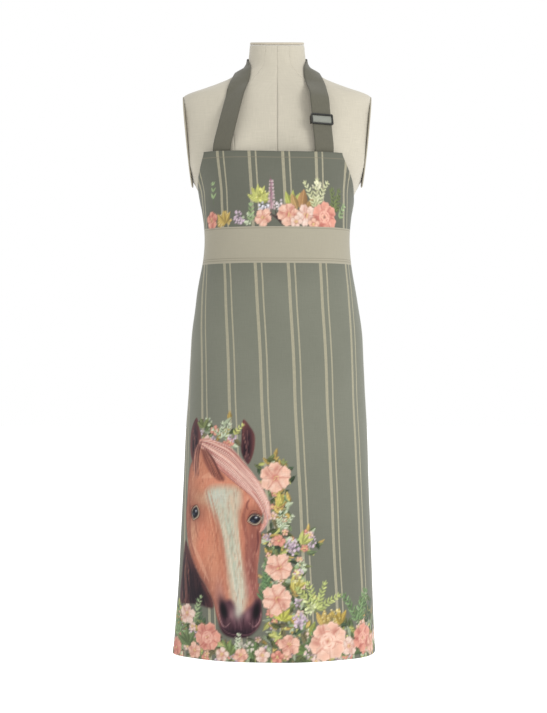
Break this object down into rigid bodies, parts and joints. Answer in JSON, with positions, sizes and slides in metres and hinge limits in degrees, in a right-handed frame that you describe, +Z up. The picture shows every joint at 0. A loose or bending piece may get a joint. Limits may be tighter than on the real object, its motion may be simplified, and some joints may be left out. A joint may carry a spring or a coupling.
{
  "type": "bib apron on a dress form",
  "caption": "Long printed bib apron with adjustable neck strap and back-tied waist ties, worn by a linen-covered dress-form torso with a pole socket.",
  "frame": {"origin": "centre of the pole socket at the underside of the torso's base plate", "axes": "+Z up along the pole, -Y towards the apron's printed front, +X to the viewer's right of the front"},
  "size_m": [0.386, 0.2857, 1.2015],
  "materials": {
    "apron_cloth": "printed cotton twill",
    "webbing": "woven cotton webbing",
    "linen": "plain woven linen",
    "shell": "glass-fibre shell",
    "plywood": "sanded plywood",
    "gunmetal": "satin black",
    "steel": "brushed"
  },
  "bodies": {
    "form": {"apron_panel": "apron_cloth", "neck_strap": "webbing", "waist_tie_left": "webbing", "waist_tie_right": "webbing", "bow_loop_left": "webbing", "bow_loop_right": "webbing", "bow_tail_left": "webbing", "bow_tail_right": "webbing", "bow_knot": "webbing", "shell_front": "shell", "shell_back": "shell", "linen_front_left": "linen", "linen_front_right": "linen", "linen_side_front_left": "linen", "linen_side_front_right": "linen", "linen_side_back_left": "linen", "linen_side_back_right": "linen", "linen_back_left": "linen", "linen_back_right": "linen", "neck_cap": "linen", "armhole_plate_left": "linen", "armhole_plate_right": "linen", "base_plate": "plywood", "pole_socket": "steel", "flange_screw_1": "steel", "flange_screw_2": "steel", "flange_screw_3": "steel", "flange_screw_4": "steel"},
    "slider": {"slider_frame": "gunmetal", "slider_bar": "gunmetal"},
    "clamp": {"clamp_screw": "gunmetal"}
  },
  "joints": [
    {"name": "slider_travel", "type": "slide", "parent": "form", "child": "slider", "axis": [-0.0774, 0.3085, 0.9481], "range_m": [-0.02, 0.018]},
    {"name": "clamp_turn", "type": "hinge", "parent": "form", "child": "clamp", "pos_m": [0, 0.02, -0.03], "axis": [0, 1, 0], "continuous": true}
  ]
}
